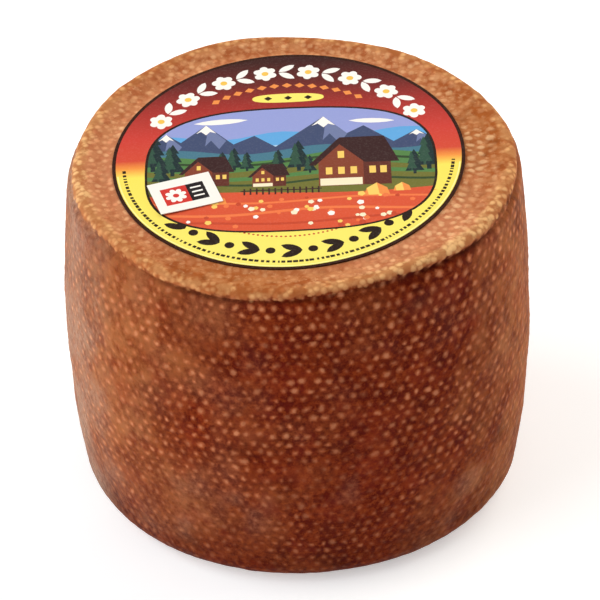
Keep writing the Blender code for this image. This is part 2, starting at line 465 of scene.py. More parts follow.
def rind_piece():
    """The dotted rind with its golden top, in the place of the whole wheel."""
    rind = Rind()
    top_pole = rind.points[0].mean(0)
    foot_pole = np.array([*rind.points[-1, :, :2].mean(0), 0.0])
    points = np.concatenate([rind.points.reshape(-1, 3), [top_pole, foot_pole]])
    mesh = bpy.data.meshes.new("rind")
    mesh.from_pydata(points.tolist(), [], rind_faces(len(rind.way)))
    attach(mesh, "weave", "FLOAT_VECTOR", "CORNER", rind_corners(rind))
    zones = np.stack([rind.past_line / MM, rind.depth / MM, rind.pale_and_sheen], -1).reshape(-1, 3)
    attach(mesh, "zones", "FLOAT_VECTOR", "POINT", np.concatenate([zones, POLE_ZONES]))
    tints = np.stack([rind.dust_and_sheen, rind.cream, rind.brown], -1).reshape(-1, 3)
    attach(mesh, "tints", "FLOAT_VECTOR", "POINT", np.concatenate([tints, np.zeros((2, 3))]))
    mesh.shade_smooth()
    mesh.materials.append(RindGraph().finished())
    piece = bpy.data.objects.new("rind", mesh)
    bpy.context.scene.collection.objects.link(piece)
    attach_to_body(piece, "root")
    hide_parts("cheese_wheel")


# Materials

def linear(red, green, blue):
    """A shader colour from screen values of 0 to 255."""
    shares = np.array([red, green, blue]) / 255.0
    return tuple(np.where(shares <= 0.04045, shares / 12.92, ((shares + 0.055) / 1.055) ** 2.4)) + (1.0,)


# The Mix node's sockets for colours
MIX_SHARE, MIX_FIRST, MIX_SECOND, MIX_RESULT = 0, 6, 7, 2


class Graph:
    """A material's nodes, made and linked one line each."""

    def __init__(self, name):
        self.material = bpy.data.materials.new(name)
        self.material.use_nodes = True
        self.tree = self.material.node_tree
        self.shader = self.tree.nodes["Principled BSDF"]

    @functools.cached_property
    def place(self):
        """Where a point is on the object, in metres."""
        return self.node("TexCoord").outputs["Object"]

    def node(self, kind, **settings):
        made = self.tree.nodes.new("ShaderNode" + kind)
        for name, value in settings.items():
            setattr(made, name, value)
        return made

    def feed(self, socket, value):
        """Links another node's value to a socket, or sets the socket to a plain one."""
        if isinstance(value, bpy.types.NodeSocket):
            self.tree.links.new(value, socket)
        else:
            socket.default_value = value

    def math(self, operation, *values):
        made = self.node("Math", operation=operation)
        for socket, value in zip(made.inputs, values):
            self.feed(socket, value)
        return made.outputs[0]

    def times(self, first, second):
        return self.math("MULTIPLY", first, second)

    def plus(self, first, second):
        return self.math("ADD", first, second)

    def minus(self, first, second):
        return self.math("SUBTRACT", first, second)

    def mix(self, share, first, second, blend="MIX"):
        """The first colour with a share of the second over it."""
        made = self.node("Mix", data_type="RGBA", blend_type=blend)
        self.feed(made.inputs[MIX_SHARE], share)
        self.feed(made.inputs[MIX_FIRST], first)
        self.feed(made.inputs[MIX_SECOND], second)
        return made.outputs[MIX_RESULT]

    def darken(self, colour, share):
        """A colour of which only a share is left."""
        grey = self.node("CombineColor")
        for socket in grey.inputs:
            self.feed(socket, share)
        return self.mix(1.0, colour, grey.outputs[0], "MULTIPLY")

    def step(self, value, low, high, first=0.0, second=1.0, kind="SMOOTHSTEP"):
        """A step from first to second as value goes from low to high, soft unless kind says otherwise."""
        made = self.node("MapRange", interpolation_type=kind)
        names = ("Value", "From Min", "From Max", "To Min", "To Max")
        for name, number in zip(names, (value, low, high, first, second)):
            self.feed(made.inputs[name], number)
        return made.outputs[0]

    def noise(self, cell, detail=3.0, roughness=0.55):
        """Soft clouds about cell across, mostly from 0.3 to 0.7."""
        made = self.node("TexNoise")
        self.feed(made.inputs["Vector"], self.place)
        made.inputs["Scale"].default_value = 1.0 / cell
        made.inputs["Detail"].default_value = detail
        made.inputs["Roughness"].default_value = roughness
        return made.outputs["Fac"]

    def pebbles(self, cell):
        """How far the nearest of many scattered points is, in cells, and an even draw that is its own."""
        made = self.node("TexVoronoi")
        self.feed(made.inputs["Vector"], self.place)
        made.inputs["Scale"].default_value = 1.0 / cell
        return made.outputs["Distance"], self.split("Color", made.outputs["Color"])[0]

    def draws(self, *numbers):
        """Three even random draws from -0.5 to 0.5, the same wherever the whole numbers are the same."""
        cell = self.node("CombineXYZ")
        for socket, number in zip(cell.inputs, numbers):
            self.feed(socket, number)
        made = self.node("TexWhiteNoise", noise_dimensions="3D")
        self.feed(made.inputs["Vector"], cell.outputs[0])
        return [self.minus(draw, 0.5) for draw in self.split("Color", made.outputs["Color"])]

    def split(self, kind, value):
        """The three parts of a colour or a vector, with kind Color or XYZ."""
        made = self.node("Separate" + kind)
        self.feed(made.inputs[0], value)
        return made.outputs

    def attribute(self, name):
        """What a mesh has stored under a name."""
        return self.node("Attribute", attribute_type="GEOMETRY", attribute_name=name).outputs

    def bump(self, height, distance, strength, under=None):
        """A surface roughened by height, over another such surface if one is given."""
        made = self.node("Bump")
        made.inputs["Distance"].default_value = distance
        made.inputs["Strength"].default_value = strength
        self.feed(made.inputs["Height"], height)
        if under is not None:
            self.feed(made.inputs["Normal"], under)
        return made.outputs[0]

    def finish(self, colour, roughness, normal):
        self.feed(self.shader.inputs["Base Color"], colour)
        self.feed(self.shader.inputs["Roughness"], roughness)
        self.feed(self.shader.inputs["Normal"], normal)
        return self.material


# The side's colours
MAROON = linear(84, 16, 3)
RUSSET = linear(118, 40, 11)
# Tan colours, for the dry rind and for a painted sheen on the side's left and right
DRY_SHEEN_BROWN = linear(122, 56, 22)
DRY_SHEEN_TAN = linear(156, 94, 54)
# Grey, for dust and for a painted sheen along the side's left
DUST_AND_SHEEN = linear(172, 144, 124)
GRAIN = linear(156, 76, 34)
FLUSH = linear(134, 40, 23)
PIMPLE = linear(202, 116, 74)
# A painted highlight on the dots' cores
DOT_HIGHLIGHT = linear(232, 172, 130)

# The top's colours
EARTH = linear(170, 84, 48)
SAND = linear(228, 160, 110)
DRY_TOP = linear(226, 150, 110)
UMBER = linear(142, 72, 32)
HONEY = linear(166, 94, 38)
PALE_FLECK = linear(248, 202, 150)
AMBER = linear(184, 106, 56)
GOLD = linear(222, 162, 104)
CREAM = linear(248, 203, 140)
# Painted shade on the rim's outward face, just above the crust line
ROSE_SHADE = linear(166, 90, 54)


class RindGraph(Graph):
    """The rind's material: a brown side with pale dots, and a golden top that ends in a frayed line."""

    def __init__(self):
        super().__init__("rind")
        self.past_line, self.depth, self.pale_and_sheen = self.split("XYZ", self.attribute("zones")["Vector"])
        self.dust_and_sheen, self.cream, self.brown = self.split("XYZ", self.attribute("tints")["Vector"])
        self.dots, self.cores, self.threads = self.weave_masks()
        self.grain = self.noise(1.3 * MM, 4.0, 0.7)
        self.lumps = self.noise(2.4 * MM, 4.0, 0.62)
        apart, draw = self.pebbles(1.7 * MM)
        self.grit = self.step(apart, 0.60, 0.14)
        self.gaps = self.minus(1.0, self.grit)
        self.bright = self.times(self.grit, self.step(draw, 0.25, 0.95))

    def weave_masks(self):
        """The cloth's dots, the painted highlights on their cores and the threads that run aslant between
        them, from 0 to 1.
        """
        along, down, strength = self.split("XYZ", self.attribute("weave")["Vector"])
        row = self.math("ROUND", down)
        stagger = self.times(self.math("FLOORED_MODULO", row, 2.0), 0.5)
        across = self.minus(along, stagger)
        column = self.math("ROUND", across)
        drawn_column = self.math("FLOORED_MODULO", column, float(DOTS_ROUND))
        shift_along, shift_down, growth = self.draws(drawn_column, row)
        across = self.plus(self.minus(across, column), self.times(shift_along, DOT_JITTER))
        aside = self.plus(self.minus(down, row), self.times(shift_down, DOT_JITTER))
        off_along = self.times(across, DOT_PITCH)
        off_down = self.times(aside, ROW_PITCH)
        squares = self.plus(self.times(off_along, off_along), self.times(off_down, off_down))
        ragged = self.times(self.minus(self.noise(1.1 * MM), 0.5), 1.3 * MM)
        off = self.plus(self.math("SQRT", squares), ragged)
        off = self.minus(off, self.times(growth, 0.50 * MM))
        dots = self.times(self.step(off, 1.35 * DOT_RADIUS, 0.35 * DOT_RADIUS), strength)
        # Where each dot's painted highlight lies
        cores = self.times(self.step(off, 0.70 * DOT_RADIUS, 0.0), strength)
        half_down = self.times(down, 0.5)
        leaning = [self.plus(along, half_down), self.minus(along, half_down)]
        apart = [self.math("ABSOLUTE", self.minus(line, self.math("ROUND", line))) for line in leaning]
        threads = self.step(self.math("MINIMUM", *apart), 0.26, 0.02)
        return dots, cores, self.times(threads, self.step(self.noise(4 * MM), 0.40, 0.62))

    def side(self):
        """Maroon and russet in patches, tan and grey where it is dry, dusty and painted with sheen, and pale
        dots with painted highlights.
        """
        patches = self.noise(5 * MM, 5.0, 0.65)
        mottle = self.step(self.plus(self.times(patches, 0.5), self.times(self.grain, 0.5)), 0.40, 0.60)
        colour = self.mix(mottle, MAROON, RUSSET)
        dry_sheen_tone = self.step(self.plus(self.times(patches, 0.75), self.times(self.grain, 0.25)), 0.36, 0.60)
        # Tan over the dry rind and over the painted sheen on the left and right
        colour = self.mix(self.pale_and_sheen, colour, self.mix(dry_sheen_tone, DRY_SHEEN_BROWN, DRY_SHEEN_TAN))
        colour = self.mix(self.step(self.noise(8 * MM, 4.0), 0.50, 0.66, 0.0, 0.22), colour, FLUSH)
        colour = self.mix(self.times(self.threads, 0.14), colour, GRAIN)
        colour = self.mix(self.step(self.grain, 0.50, 0.72, 0.0, 0.38), colour, GRAIN)
        # Grey over the dust and over the painted sheen along the left
        dust_sheen_share = self.times(self.dust_and_sheen, self.step(self.grain, 0.40, 0.62, 0.45, 1.0))
        colour = self.mix(dust_sheen_share, colour, DUST_AND_SHEEN)
        dots = self.times(self.dots, self.step(self.dust_and_sheen, 0.0, 0.6, 0.60, 0.36))
        colour = self.mix(dots, colour, PIMPLE)
        # Painted highlights on the dots' cores
        cores = self.times(self.cores, self.step(self.dust_and_sheen, 0.0, 0.6, 0.32, 0.60))
        return self.mix(cores, colour, DOT_HIGHLIGHT)

    def top(self):
        """Sandy lumps and pale flecks, turning into the golden ridge of the edge."""
        clumps = self.step(self.noise(3.2 * MM, 4.0), 0.41, 0.59)
        lively = self.step(self.brown, 0.0, 0.8, 0.5, 1.0)
        clumps = self.plus(self.times(self.minus(clumps, 0.5), lively), 0.5)
        colour = self.mix(clumps, EARTH, SAND)
        dried = self.plus(self.step(self.past_line, -6.0, -9.5, 0.0, 0.35), self.times(self.cream, 0.38))
        colour = self.mix(dried, colour, DRY_TOP)
        colour = self.mix(self.times(self.gaps, 0.36), colour, UMBER)
        colour = self.mix(self.times(self.bright, 0.42), colour, PALE_FLECK)
        colour = self.mix(self.times(self.brown, 0.60), colour, HONEY)
        specks = self.noise(0.9 * MM, 3.0, 0.6)
        colour = self.mix(self.step(specks, 0.56, 0.74, 0.0, 0.30), colour, PALE_FLECK)
        colour = self.mix(self.times(self.dots, 0.66), colour, PALE_FLECK)
        outer = self.step(self.plus(self.past_line, self.times(self.lumps, 4.0)), -2.4, -0.4)
        colour = self.mix(self.times(outer, 0.85), colour, self.ridge(clumps))
        # Painted shade on the rim's outward face just above the crust line, less on the paler sides
        near_line = self.step(self.past_line, -1.6, 0.1, 0.0, 0.6)
        shaded_fringe = self.times(near_line, self.step(self.pale_and_sheen, 0.0, 1.0, 1.0, 0.3))
        return self.mix(shaded_fringe, colour, ROSE_SHADE)

    def ridge(self, clumps):
        """The golden crust of the edge, creamy on the lumps that stand out: partly pale crumbs and partly a
        painted highlight.
        """
        colour = self.mix(clumps, AMBER, GOLD)
        colour = self.mix(self.times(self.gaps, 0.50), colour, UMBER)
        standing_out = self.plus(self.lumps, self.times(self.grit, 0.2))
        # Cream on the raised lumps: pale crumbs and a painted highlight
        cream_and_highlight = self.times(self.cream, self.step(standing_out, 0.45, 0.72, 0.1, 0.85))
        colour = self.mix(cream_and_highlight, colour, CREAM)
        return self.mix(self.times(self.bright, 0.35), colour, CREAM)

    def surface(self):
        """The bumps of the lumps, the grain and the dots, finer than the mesh has them."""
        lumpy = self.plus(self.lumps, self.times(self.grit, 0.5))
        coarse = self.bump(lumpy, 0.30 * MM, 0.6)
        fine = self.bump(self.grain, 0.18 * MM, 0.7, coarse)
        return self.bump(self.dots, 0.12 * MM, 0.8, fine)

    def finished(self):
        """The whole material, with painted shade in its hollows and towards the foot's corner."""
        frayed = self.plus(self.past_line, self.times(self.minus(self.lumps, 0.5), 3.0))
        frayed = self.plus(frayed, self.times(self.minus(self.gaps, 0.7), 0.7))
        colour = self.mix(self.step(frayed, -0.45, 0.45), self.top(), self.side())
        # Painted shade in the hollows of the relief
        colour = self.darken(colour, self.step(self.depth, -0.28, 0.02, 0.58, 1.0))
        # Painted shade darkening towards the foot's corner
        colour = self.darken(colour, self.step(self.past_line, 64.0, 88.0, 1.0, 0.76))
        self.shader.inputs["Specular IOR Level"].default_value = 0.03
        self.shader.inputs["Sheen Weight"].default_value = 0.06
        self.shader.inputs["Sheen Roughness"].default_value = 0.16
        self.shader.inputs["Sheen Tint"].default_value = linear(255, 214, 164)
        return self.finish(colour, self.step(self.grain, 0.3, 0.7, 0.50, 0.70), self.surface())


# The papers' print: each shape is an ink and an outline in millimetres on the paper, later ones on top

INKS = {
    "paper": linear(246, 243, 236),
    "outline": linear(38, 22, 12),
    "rim": linear(50, 17, 1),
    "yellow": linear(252, 234, 112),
    "rim_line": linear(250, 240, 160),
    "white": linear(250, 246, 240),
    "petal_heart": linear(244, 196, 84),
    "orange": linear(240, 146, 74),
    "brick": linear(196, 72, 44),
    "cream": linear(244, 234, 200),
    "lavender": linear(150, 160, 216),
    "sky": linear(98, 168, 224),
    "haze": linear(176, 206, 232),
    "slate": linear(66, 78, 112),
    "slate_light": linear(112, 124, 164),
    "lake": linear(72, 120, 140),
    "pine": linear(30, 48, 50),
    "pine_light": linear(50, 82, 66),
    "grass": linear(84, 130, 72),
    "olive": linear(112, 112, 50),
    "moss": linear(52, 74, 44),
    "timber": linear(132, 64, 44),
    "old_timber": linear(98, 46, 36),
    "roof": linear(58, 32, 32),
    "poppy": linear(216, 86, 54),
    "poppy_light": linear(236, 122, 70),
    "straw": linear(246, 206, 104),
    "signal_red": linear(208, 52, 44),
    "black": linear(30, 24, 26),
}

# The label's ground, which fades from yellow at the front through red to dark at the back
FADE = "fade"
FADE_STOPS = [
    (-41.5, linear(249, 233, 114)),
    (-5.0, linear(250, 228, 96)),
    (-1.5, linear(240, 150, 66)),
    (1.5, linear(211, 76, 54)),
    (10.0, linear(204, 64, 54)),
    (20.0, linear(168, 50, 43)),
    (30.0, linear(106, 38, 34)),
    (39.0, linear(62, 28, 25)),
]

# The label's layout
RIM_WIDTH = 0.85
RIM_LINE = (1.05, 1.35)
RIM_LINE_ARC = (186.0, 354.0)
GARLAND_RADIUS = 34.6
BLOSSOMS = 8
LOZENGES = 13
VINE_RADIUS = 34.9
VINE_STEPS = 13
TICK_RADIUS = 38.9

# The picture's window and the land that it looks on to
WINDOW_CENTRE = (0.5, -3.8)
WINDOW_HALF_WIDE = 34.0
WINDOW_HALF_HIGH = 23.6
WINDOW_POWER = 2.9
WINDOW_LINE = 0.45
WINDOW_INSET = 0.15
LAND_LEFT, LAND_RIGHT = -36.0, 37.0
LAND_FLOOR = -30.0
PEAKS = [
    (-36.0, 4.0), (-29.0, 11.5), (-25.5, 8.0), (-19.5, 14.5), (-13.0, 6.5), (-8.0, 9.5), (-3.0, 4.8),
    (3.0, 10.5), (8.5, 16.0), (14.0, 9.0), (18.0, 11.8), (25.0, 5.0), (30.5, 9.2), (37.0, 3.5),
]
SNOWY_PEAKS = [(-29.0, 11.5, 1.9, 2.6), (-19.5, 14.5, 2.4, 3.2), (8.5, 16.0, 2.8, 3.6), (30.5, 9.2, 1.8, 1.9)]
FIRS = [
    (-32.0, -3.0, 15.0), (-27.4, -5.0, 12.5), (-30.0, -8.0, 10.0), (33.0, -6.5, 14.0), (29.6, -8.0, 9.5),
    (-15.6, -3.2, 7.0), (-12.8, -3.8, 9.0), (-9.8, -4.2, 7.5), (2.4, -5.0, 12.0), (-2.4, -5.2, 9.0),
    (5.0, -6.0, 7.0),
]


def polar(radius, degrees):
    turn = math.radians(degrees)
    return np.array([radius * math.cos(turn), radius * math.sin(turn)])


def placed(outline, centre, degrees):
    """An outline turned round its own origin and moved to a centre."""
    turn = math.radians(degrees)
    spin = np.array([[math.cos(turn), -math.sin(turn)], [math.sin(turn), math.cos(turn)]])
    return np.asarray(outline) @ spin.T + np.asarray(centre)


def stretched(outline, foot, wide, high):
    """An outline given in shares of a width and a height, set on its foot."""
    return np.asarray(outline) * [wide, high] + np.asarray(foot)


def oval(centre, half_wide, half_high, power=2.0, points=48):
    """An ellipse, or with a power over 2 a squarer one."""
    turn = np.arange(points) * 2.0 * math.pi / points
    x = half_wide * np.sign(np.cos(turn)) * np.abs(np.cos(turn)) ** (2.0 / power)
    y = half_high * np.sign(np.sin(turn)) * np.abs(np.sin(turn)) ** (2.0 / power)
    return placed(np.stack([x, y], 1), centre, 0.0)


def leaf(centre, length, width, degrees, points=7):
    along = np.linspace(-1.0, 1.0, points)
    edge = width * 0.5 * (1.0 - along ** 2) ** 0.8
    upper = np.stack([along * length * 0.5, edge], 1)
    lower = np.stack([along * length * 0.5, -edge], 1)[::-1][1:-1]
    return placed(np.concatenate([upper, lower]), centre, degrees)


def lozenge(centre, length, width, degrees):
    half_long, half_wide = 0.5 * length, 0.5 * width
    return placed([(half_long, 0.0), (0.0, half_wide), (-half_long, 0.0), (0.0, -half_wide)], centre, degrees)


def bar(centre, length, width, degrees):
    half_long, half_wide = 0.5 * length, 0.5 * width
    corners = [
        (half_long, half_wide), (-half_long, half_wide),
        (-half_long, -half_wide), (half_long, -half_wide),
    ]
    return placed(corners, centre, degrees)


def rectangle(left, low, right, high):
    return [(left, low), (right, low), (right, high), (left, high)]


def blossom(centre, radius, petals, degrees, points=40):
    turn = np.arange(points) * 2.0 * math.pi / points
    reach = radius * (0.68 + 0.32 * np.abs(np.cos(0.5 * petals * turn)) ** 0.7)
    return placed(np.stack([reach * np.cos(turn), reach * np.sin(turn)], 1), centre, degrees)


def skyline(points):
    """The land under a line of hilltops."""
    line = np.array(points, float)
    return np.concatenate([line, [(line[-1, 0], LAND_FLOOR), (line[0, 0], LAND_FLOOR)]])


def rolling_line(height, lift, waves, start, left, right, points):
    """A line that rises and sinks by lift round a height, in half waves from left to right."""
    x = np.linspace(left, right, points)
    y = height + lift * np.sin(waves * math.pi * (x - left) / (right - left) + start)
    return np.stack([x, y], 1)


def hills(height, lift, waves, start):
    """The land under a rolling line across the whole picture."""
    return skyline(rolling_line(height, lift, waves, start, LAND_LEFT, LAND_RIGHT, 22))


def wavy_band(height, thickness, lift, waves, start, left=LAND_LEFT, right=LAND_RIGHT, points=26):
    line = rolling_line(height, lift, waves, start, left, right, points)
    half = [0.0, 0.5 * thickness]
    return np.concatenate([line + half, (line - half)[::-1]])


def garland():
    """White blossoms and leaves round the top, a row of orange lozenges and a yellow plate under them."""
    shapes = []
    for k in range(BLOSSOMS):
        degrees = 151.0 - k * 122.0 / (BLOSSOMS - 1)
        centre = polar(GARLAND_RADIUS, degrees)
        shapes.append(("white", blossom(centre, 2.9, 6, degrees)))
        shapes.append(("petal_heart", oval(centre, 0.85, 0.85, points=14)))
        if k < BLOSSOMS - 1:
            between = degrees - 61.0 / (BLOSSOMS - 1)
            for side, tilt in ((1.45, 34.0), (-1.45, -34.0)):
                spot = polar(GARLAND_RADIUS + side, between)
                shapes.append(("white", leaf(spot, 4.6, 1.9, between - 90.0 + tilt)))
    for k in range(LOZENGES):
        degrees = 126.0 - k * 72.0 / (LOZENGES - 1)
        shapes.append(("orange", lozenge(polar(29.1, degrees), 2.5, 1.9, degrees - 90.0)))
    shapes.append(("yellow", oval((0.2, 24.0), 8.6, 1.75, 2.6)))
    for x in (-4.6, 0.2, 5.0):
        shapes.append(("outline", lozenge((x, 24.0), 2.0, 1.7, 0.0)))
    return shapes


def vine():
    """Dark leaves and berries in the yellow, with small dots over them and short strokes round the rim."""
    shapes = []
    for k in range(VINE_STEPS):
        degrees = 222.0 + k * 97.0 / (VINE_STEPS - 1)
        if k % 2:
            shapes.append(("outline", oval(polar(VINE_RADIUS, degrees), 1.15, 1.15, points=16)))
            continue
        for side, tilt in ((1.1, 24.0), (-1.1, -24.0)):
            spot = polar(VINE_RADIUS + side, degrees)
            shapes.append(("outline", leaf(spot, 5.4, 2.2, degrees + 90.0 + tilt)))
    for k in range(22):
        shapes.append(("brick", oval(polar(29.6, 247.0 + 2.1 * k), 0.3, 0.3, points=8)))
    draws = np.random.default_rng(5)
    degrees = 184.0
    while degrees < 356.0:
        wide = draws.uniform(0.4, 1.2)
        shapes.append(("outline", bar(polar(TICK_RADIUS, degrees), wide, 0.8, degrees + 90.0)))
        degrees += math.degrees((wide * 0.5 + draws.uniform(0.7, 1.0)) / TICK_RADIUS)
    for k in range(4):
        spot = np.array([30.6 - 0.9 * k, -14.9 - 1.7 * k])
        shapes.append(("orange", leaf(spot, 8.4 - 0.9 * k, 0.62, 7.0)))
    return shapes


def window(more):
    """The window's outline, made larger by more all round."""
    return oval(WINDOW_CENTRE, WINDOW_HALF_WIDE + more, WINDOW_HALF_HIGH + more, WINDOW_POWER, 72)


def snowy_peak(x, y, half, drop):
    """The lit flank and the snow of a mountain with its top at x, y."""
    flank = [(0.0, 0.0), (2.0, -2.0), (1.3, -3.0), (0.5, -1.9), (-0.1, -2.6), (0.1, -1.2)]
    cap = [(0.0, 0.0), (1.0, -1.0), (0.4, -0.8), (0.0, -1.2), (-0.5, -0.75), (-1.0, -1.0)]
    return [
        ("slate_light", stretched(flank, (x, y), half, drop)),
        ("white", stretched(cap, (x, y), half, drop)),
    ]


def fir(x, y, high):
    """A fir of three tiers standing at x, y, with a lighter one in it."""
    edge = [
        (-0.08, 0.0), (-0.08, 0.12), (-0.5, 0.12), (-0.22, 0.42),
        (-0.38, 0.42), (-0.14, 0.70), (-0.26, 0.70),
    ]
    outline = edge + [(0.0, 1.0)] + [(-share, up) for share, up in edge[::-1]]
    tree = stretched(outline, (x, y), 0.48 * high, high)
    lit = tree * [0.55, 0.8] + [0.45 * x - 0.07 * high, 0.2 * y + 0.12 * high]
    return [("pine", tree), ("pine_light", lit)]


def farmhouse(x, y, size):
    """A timber farmhouse with its gable to the front, standing at x, y, drawn in shares of its wall."""
    wide, high = 11.0 * size, 6.2 * size
    faces = [
        ("timber", rectangle(0.0, 0.0, 1.0, 1.0)),
        ("old_timber", rectangle(0.62, 0.0, 1.0, 1.0)),
        ("timber", [(-0.02, 1.0), (0.62, 1.0), (0.3, 1.72)]),
        ("roof", [(-0.14, 0.86), (0.3, 1.95), (0.36, 1.78), (0.3, 1.66), (-0.04, 0.84)]),
        ("roof", [(0.3, 1.95), (0.92, 1.95), (1.12, 0.9), (0.64, 0.9), (0.3, 1.66)]),
        ("cream", rectangle(0.02, 0.02, 0.6, 0.3)),
    ]
    for left, low in ((0.10, 0.46), (0.27, 0.46), (0.44, 0.46), (0.27, 1.1), (0.70, 0.46), (0.85, 0.46)):
        faces.append(("straw", rectangle(left, low, left + 0.09, low + 0.28)))
    return [(ink, stretched(outline, (x, y), wide, high)) for ink, outline in faces]


def haystack(x, y, size):
    stack = [(-3.0, 0.0), (-2.4, 2.6), (0.0, 4.6), (2.4, 2.6), (3.0, 0.0)]
    lit = stack[1:3] + [(0.6, 0.0), (-2.0, 0.0)]
    return [("orange", stretched(stack, (x, y), size, size)), ("straw", stretched(lit, (x, y), size, size))]


def fence():
    posts = [bar((-10.5 + 1.45 * k, -12.4 + 0.1 * math.sin(k)), 0.42, 2.4, 0.0) for k in range(13)]
    rail = wavy_band(-12.1, 0.4, 0.12, 2.0, 0.0, -11.4, 7.6, 12)
    return [("roof", outline) for outline in posts + [rail]]


def flowers():
    """Small flowers strewn over the field."""
    shapes = []
    draws = np.random.default_rng(9)
    for k in range(60):
        spot = np.array([draws.uniform(-27.0, 29.0), draws.uniform(-26.5, -14.6)])
        size = draws.uniform(0.45, 0.95)
        ink = ("cream", "white", "straw", "poppy_light", "brick")[k % 5]
        shapes.append((ink, blossom(spot, size, 5, 40.0 * k, 15)))
    return shapes


def landscape():
    """An alpine evening seen through the window: peaks, wooded hills, a farm and a field of poppies."""
    shapes = [
        ("sky", hills(9.5, 1.2, 5.0, 0.4)),
        ("haze", hills(4.6, 0.9, 4.0, 1.9)),
        ("white", leaf((-16.0, 15.6), 13.0, 2.0, 3.0)),
        ("white", leaf((20.0, 13.6), 11.0, 1.8, -4.0)),
        ("slate", skyline(PEAKS)),
    ]
    for x, y, half, drop in SNOWY_PEAKS:
        shapes += snowy_peak(x, y, half, drop)
    shapes += [
        ("lake", hills(3.6, 1.3, 4.0, 0.2)),
        ("grass", hills(1.0, 1.6, 3.0, 1.2)),
        ("moss", wavy_band(-0.9, 0.9, 1.2, 3.0, 1.6)),
        ("olive", hills(-3.4, 1.4, 2.6, 2.6)),
        ("grass", wavy_band(-6.4, 1.5, 1.0, 2.6, 2.2)),
        ("moss", wavy_band(-9.0, 0.8, 0.9, 3.4, 0.6)),
        ("poppy", hills(-13.0, 0.9, 2.0, 0.3)),
        ("poppy_light", wavy_band(-16.2, 0.7, 0.6, 3.0, 0.9)),
        ("poppy_light", wavy_band(-20.2, 0.9, 0.8, 3.0, 2.1)),
        ("brick", wavy_band(-24.0, 0.8, 0.7, 3.0, 0.2)),
    ]
    for x, y, high in FIRS:
        shapes += fir(x, y, high)
    for x, y, size in ((7.0, -11.4, 1.55), (-24.5, -9.6, 0.95), (-8.6, -10.6, 0.72)):
        shapes += farmhouse(x, y, size)
    shapes += fence()
    for x, y, size in ((-17.0, -16.6, 0.8), (20.5, -15.4, 1.0), (26.4, -14.2, 0.7)):
        shapes += haystack(x, y, size)
    return shapes + flowers()


def clipped(shapes, view=None):
    """Each ink and outline with the outline that it shows inside, if there is one."""
    return [(ink, outline, view) for ink, outline in shapes]


def label_shapes():
    """A dark rim round the fading ground, the garland over the picture and the vine under it."""
    start, end = RIM_LINE_ARC
    line = [polar(LABEL_RADIUS - RIM_LINE[0], degrees) for degrees in np.linspace(start, end, 57)]
    line += [polar(LABEL_RADIUS - RIM_LINE[1], degrees) for degrees in np.linspace(end, start, 57)]
    border = [
        ("rim", oval((0.0, 0.0), LABEL_RADIUS, LABEL_RADIUS, points=120)),
        (FADE, oval((0.0, 0.0), LABEL_RADIUS - RIM_WIDTH, LABEL_RADIUS - RIM_WIDTH, points=120)),
        ("rim_line", line),
    ]
    picture = [("outline", window(WINDOW_LINE)), ("lavender", window(-WINDOW_INSET))]
    return clipped(border + garland() + vine() + picture) + clipped(landscape(), window(-WINDOW_INSET))


def seal_shapes():
    """A red field with a white blossom beside a black one with pale bars."""
    wide, deep = 0.5 * SEAL_WIDTH, 0.5 * SEAL_DEPTH
    low, high, left, middle, right = -3.4, 3.1, -5.3, 0.9, 5.1
    heart = (0.5 * (left + middle), 0.5 * (low + high))
    shapes = [
        ("paper", rectangle(-wide, -deep, wide, deep)),
        ("signal_red", rectangle(left, low, middle, high)),
        ("black", rectangle(middle, low, right, high)),
        ("white", blossom(heart, 2.6, 8, 12.0, 48)),
        ("signal_red", oval(heart, 0.75, 0.75, points=14)),
    ]
    for k in range(3):
        shapes.append(("white", bar((0.5 * (middle + right), 1.5 - 1.65 * k), 2.6, 0.55, 0.0)))
    return clipped(shapes)


def inside(points, outline):
    """Which points lie inside a closed outline."""
    outline = np.asarray(outline, float)
    held = np.zeros(len(points), bool)
    for (x0, y0), (x1, y1) in zip(outline, np.roll(outline, -1, axis=0)):
        if y0 == y1:
            continue
        crosses = (y0 > points[:, 1]) != (y1 > points[:, 1])
        held ^= crosses & (points[:, 0] < (x1 - x0) * (points[:, 1] - y0) / (y1 - y0) + x0)
    return held


def cut_sheet(shapes, spacing):
    """A flat mesh of triangles cut along every outline, with the index of the topmost shape on each.

    The first shape is the sheet itself. Points spacing apart fill it, so that it can bend.
    """
    merge = 0.0005
    sheet = np.asarray(shapes[0][1], float)
    low, high = sheet.min(0), sheet.max(0)
    grid = np.stack(np.meshgrid(*[np.arange(a, b, spacing) for a, b in zip(low, high)]), -1).reshape(-1, 2)
    points, edges = [], []
    for _, outline, _ in shapes:
        start, count = len(points), len(outline)
        points += [Vector(point) for point in outline]
        edges += [(start + k, start + (k + 1) % count) for k in range(count)]
    points += [Vector(point) for point in grid[inside(grid, sheet)]]
    verts, _, faces, *_ = delaunay_2d_cdt(points, edges, [], 0, merge)
    verts = np.array([tuple(vert) for vert in verts])
    faces = np.array([face for face in faces if len(face) == 3])
    centres = verts[faces].mean(1)
    top = np.full(len(faces), -1)
    for index, (_, outline, view) in enumerate(shapes):
        held = inside(centres, outline)
        if view is not None:
            held &= inside(centres, view)
        top[held] = index
    return verts, faces[top >= 0], top[top >= 0]


